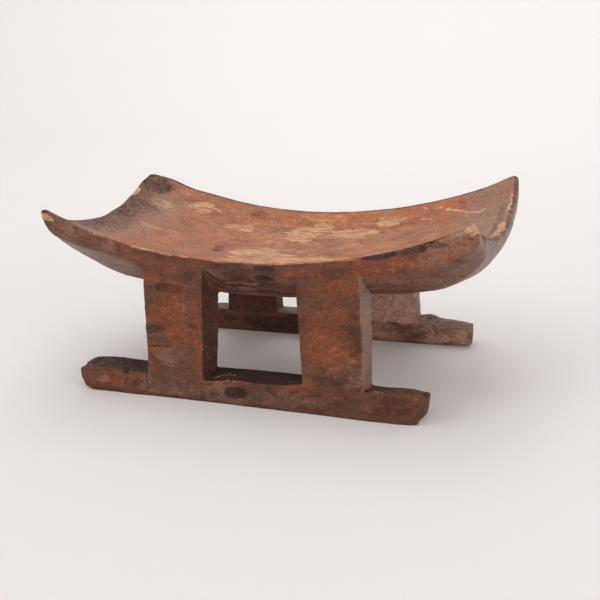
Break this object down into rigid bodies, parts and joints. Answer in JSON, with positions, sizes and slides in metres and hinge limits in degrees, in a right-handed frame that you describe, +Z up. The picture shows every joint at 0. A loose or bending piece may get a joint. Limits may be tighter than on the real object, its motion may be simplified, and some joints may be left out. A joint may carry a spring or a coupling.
{
  "type": "carved stool",
  "caption": "Low carved wooden stool with a long boat-shaped dished seat on two sledge-footed frames, each with a square window.",
  "frame": {"origin": "on the floor, under the middle of the seat", "axes": "+X along the seat, towards the end over the cut heels of the runners; +Y from the front frame to the rear frame; +Z up"},
  "size_m": [0.362, 0.1872, 0.1546],
  "materials": {
    "carved_wood": "matte, hand-worn, with a mottled dark patina"
  },
  "bodies": {
    "root": {"seat": "carved_wood", "front_left_post": "carved_wood", "front_right_post": "carved_wood", "front_runner": "carved_wood", "rear_left_post": "carved_wood", "rear_right_post": "carved_wood", "rear_runner": "carved_wood"}
  },
  "joints": []
}
